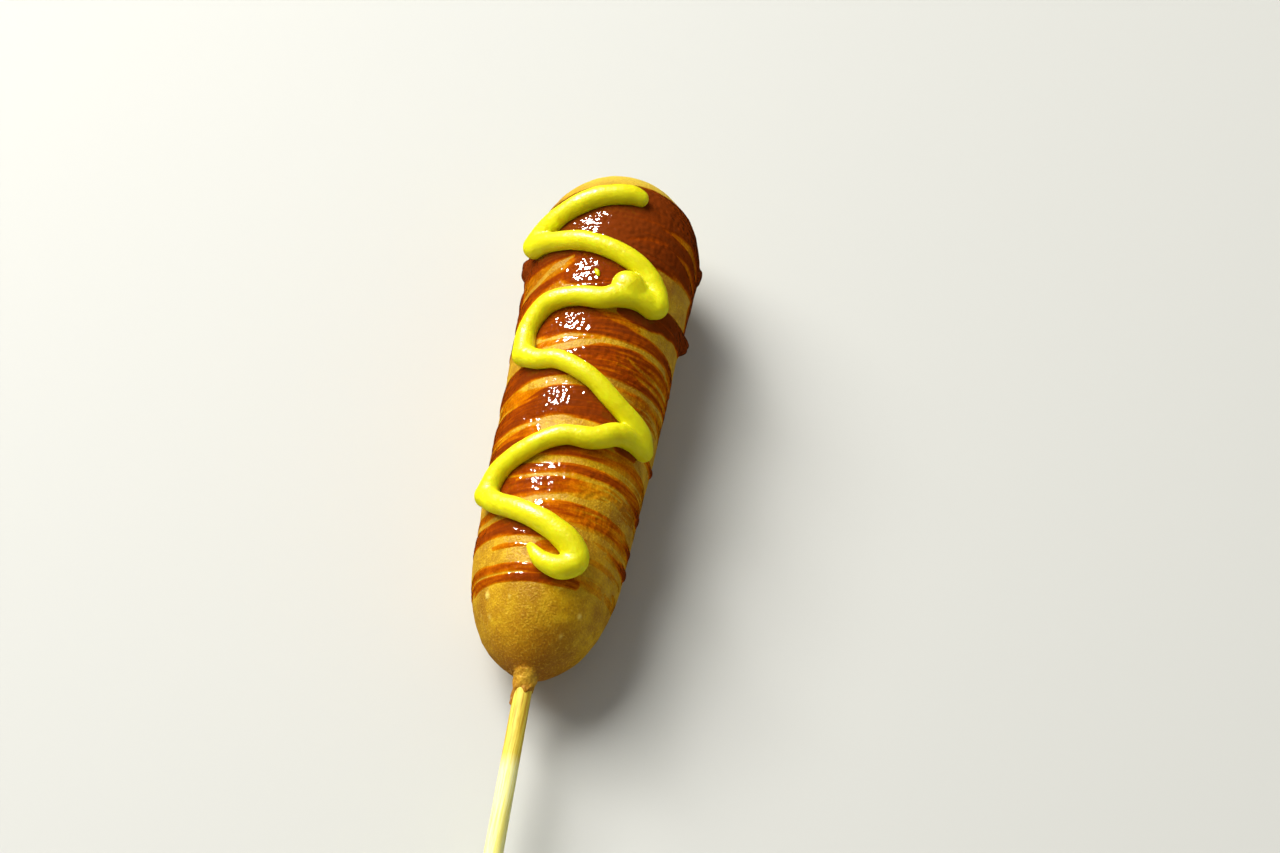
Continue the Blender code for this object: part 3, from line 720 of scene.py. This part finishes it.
bead_points, bead_faces = [], []
bead_runs = [(stroke, BEAD_LIFT) for stroke in MUSTARD_STROKES]
for route, lift in bead_runs + [(MUSTARD_HUMP, HUMP_LIFT), (MUSTARD_FLECK, BEAD_LIFT)]:
    points, faces = bead_tube(route, lift)
    offset = sum(len(block) for block in bead_points)
    bead_points.append(points)
    bead_faces += [[corner + offset for corner in face] for face in faces]
mustard = mesh_object("mustard_bead", to_frame(np.vstack(bead_points)), bead_faces)
remesh = mustard.modifiers.new("run_together", "REMESH")
remesh.mode = "VOXEL"
remesh.voxel_size = BEAD_VOXEL * MM
remesh.use_smooth_shade = True
settle = mustard.modifiers.new("settle", "SMOOTH")
settle.factor = 0.5
settle.iterations = 16
evaluated = mustard.evaluated_get(bpy.context.evaluated_depsgraph_get())
fused = bpy.data.meshes.new_from_object(evaluated)
mustard.modifiers.clear()
mustard.data = fused

material, tree, shader = new_material("mustard", Roughness=0.38, IOR=1.38)
shader.inputs["Subsurface Weight"].default_value = 0.6
shader.inputs["Subsurface Radius"].default_value = (1.0, 0.75, 0.1)
shader.inputs["Subsurface Scale"].default_value = 0.0025
tone = noise_in_mm(tree, 5.0, 3.0, 0.5)
yellow = colour_ramp(tree, tone, [(0.3, srgb(222, 214, 4)), (0.7, srgb(236, 234, 12))])
tree.links.new(yellow, shader.inputs["Base Color"])
fine = noise_in_mm(tree, 1.3, 3.0, 0.6)
bump = add_node(tree, "Bump", {"Height": fine}, {"Strength": 0.6, "Distance": 0.0004})
tree.links.new(bump.outputs[0], shader.inputs["Normal"])
mustard.data.materials.clear()
mustard.data.materials.append(material)
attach(mustard, "root")
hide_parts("mustard")

# ----------------------------------------------------------------- bamboo stick
# A round bamboo stick, turned from split bamboo, so its fibres run lengthwise.
# It is pale at the held end and golden where frying oil has soaked in.
STICK_OUTSIDE = 85.0
STICK_INSIDE = 65.0
STICK_TAPER = 0.24
STICK_ROWS = 260
STICK_COLUMNS = 48


def build_stick():
    """Rod about the leaning axis: a circle with shallow grooves, a slight taper and rounded-over ends."""
    along = np.linspace(0, STICK_OUTSIDE + STICK_INSIDE, STICK_ROWS)[:, None]
    turn = np.linspace(-np.pi, np.pi, STICK_COLUMNS, endpoint=False)[None, :]
    from_end = np.minimum(along, STICK_OUTSIDE + STICK_INSIDE - along)
    rounding = np.sqrt(1 - (1 - np.clip(from_end / 0.5, 0, 1)) ** 2)
    taper = STICK_TAPER * along / (STICK_OUTSIDE + STICK_INSIDE)
    radius = STICK_RADIUS - taper - 0.45 * (1 - rounding)
    fibre = np.stack([along / 60 + 0 * turn, np.sin(turn) * 2 + 0 * along, np.cos(turn) * 2 + 0 * along], axis=-1)
    radius = radius + 0.03 * wave_noise(fibre, 1.1, 41) - 0.02
    station = along - STICK_OUTSIDE
    across = np.minimum(STICK_PIVOT - station, 0) * math.tan(STICK_LEAN)
    points = np.stack([across + radius * np.sin(turn), -radius * np.cos(turn), station + 0 * turn], axis=-1)
    return points


rod = build_stick()
rows, columns = rod.shape[:2]
rod_points = np.concatenate([rod.reshape(-1, 3), [[0, 0, -STICK_OUTSIDE]],
                             [[-(STICK_INSIDE - STICK_PIVOT) * math.tan(STICK_LEAN), 0, STICK_INSIDE]]])
around = np.arange(columns)
beyond = (around + 1) % columns
last_row = (rows - 1) * columns
start_fan = np.stack([np.full(columns, rows * columns), beyond, around], axis=-1)
end_fan = np.stack([np.full(columns, rows * columns + 1), last_row + around, last_row + beyond], axis=-1)
rod_faces = grid_faces(rows, columns, True)[:, ::-1].tolist() + start_fan.tolist() + end_fan.tolist()
stick = mesh_object("bamboo_stick", to_frame(rod_points), rod_faces)
material, tree, shader = new_material("bamboo", Roughness=0.65, Specular_IOR_Level=0.3)
fibres = noise_in_mm(tree, 0.5, 4.0, 0.6, (1, 0.02, 1))
oiled = colour_ramp(tree, fibres, [(0.38, srgb(190, 144, 24)), (0.5, srgb(228, 198, 56)),
                                   (0.6, srgb(240, 221, 88))])
dry = colour_ramp(tree, fibres, [(0.38, srgb(242, 232, 116)), (0.5, srgb(255, 251, 160)),
                                 (0.6, srgb(255, 253, 190))])
place = add_node(tree, "TexCoord").outputs["Object"]
place_y = add_node(tree, "SeparateXYZ", {"Vector": place}).outputs["Y"]
held_end = add_node(tree, "MapRange", {"Value": place_y},
                    {"From Min": (axis_origin_y - 20) * MM, "From Max": (axis_origin_y - 24) * MM}).outputs[0]
pale = mix_colour(tree, held_end, oiled, dry)
tree.links.new(pale, shader.inputs["Base Color"])
stick.data.materials.append(material)
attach(stick, "root")
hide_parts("stick")

# ------------------------------------------------------- floor, light and camera
# A plain pale surface, a soft key light from the tip's left that only lights,
# a small glint lamp that only shines, and weak fill.
floor = mesh_object("pale_floor", np.array([[-1, -1, 0], [1, -1, 0], [1, 1, 0], [-1, 1, 0]]) * 3,
                    [[0, 1, 2, 3]])
material, tree, shader = new_material("pale_floor", Base_Color=srgb(205, 207, 205), Roughness=0.8)
floor.data.materials.append(material)
floor.visible_glossy = False
floor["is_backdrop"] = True


def soft_light(name, place, size, power, colour, shine):
    """Square area light that faces the middle of the object and only lights, or only shines."""
    light = bpy.data.lights.new(name, "AREA")
    light.size = size
    light.energy = power
    light.color = colour
    lamp = bpy.data.objects.new(name, light)
    lamp.location = place
    lamp.visible_glossy = shine
    lamp.visible_diffuse = not shine
    lamp.rotation_euler = (-Vector(place)).to_track_quat("-Z", "Y").to_euler()
    bpy.context.scene.collection.objects.link(lamp)
    return lamp


soft_light("key", (-1.48, 0.80, 1.72), 1.70, 98.0, (1.0, 0.97, 0.90), False)
soft_light("glint", (-0.55, 0.50, 0.66), 0.18, 36.0, (1.0, 0.98, 0.94), True)
world = bpy.data.worlds.new("studio")
world.use_nodes = True
world.node_tree.nodes["Background"].inputs["Color"].default_value = (1.0, 0.98, 0.94, 1)
world.node_tree.nodes["Background"].inputs["Strength"].default_value = 0.25
world.cycles_visibility.glossy = False
bpy.context.scene.world = world
bpy.context.scene.view_settings.view_transform = "Standard"

VIEW_TILT = math.radians(30)
VIEW_DISTANCE = 0.6
VIEW_LEAN = math.radians(12.3)
AIM_STATION = 65.8
AIM_RIGHT = 0.0152
AIM_UP = 0.0018
aim = Vector((0, (axis_origin_y + AIM_STATION * math.cos(body_tilt)) * MM,
              (axis_origin_z + AIM_STATION * math.sin(body_tilt)) * MM))
back = Vector((0, -math.sin(VIEW_TILT + body_tilt), math.cos(VIEW_TILT + body_tilt)))
up = Vector((0, math.cos(VIEW_TILT + body_tilt), math.sin(VIEW_TILT + body_tilt)))
right = Vector((1, 0, 0))
tilted_up = up * math.cos(VIEW_LEAN) - right * math.sin(VIEW_LEAN)
tilted_right = right * math.cos(VIEW_LEAN) + up * math.sin(VIEW_LEAN)
place = aim + back * VIEW_DISTANCE
target = aim + tilted_right * AIM_RIGHT + tilted_up * AIM_UP
gaze = (place - target).normalized()
across = tilted_up.cross(gaze).normalized()
upward = gaze.cross(across)
camera_data = bpy.data.cameras.new("camera")
camera_data.lens = 69.2
camera_data.sensor_width = 36
camera = bpy.data.objects.new("camera", camera_data)
camera.matrix_world = Matrix.Translation(place) @ Matrix((across, upward, gaze)).transposed().to_4x4()
bpy.context.scene.collection.objects.link(camera)
bpy.context.scene.camera = camera

low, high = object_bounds()
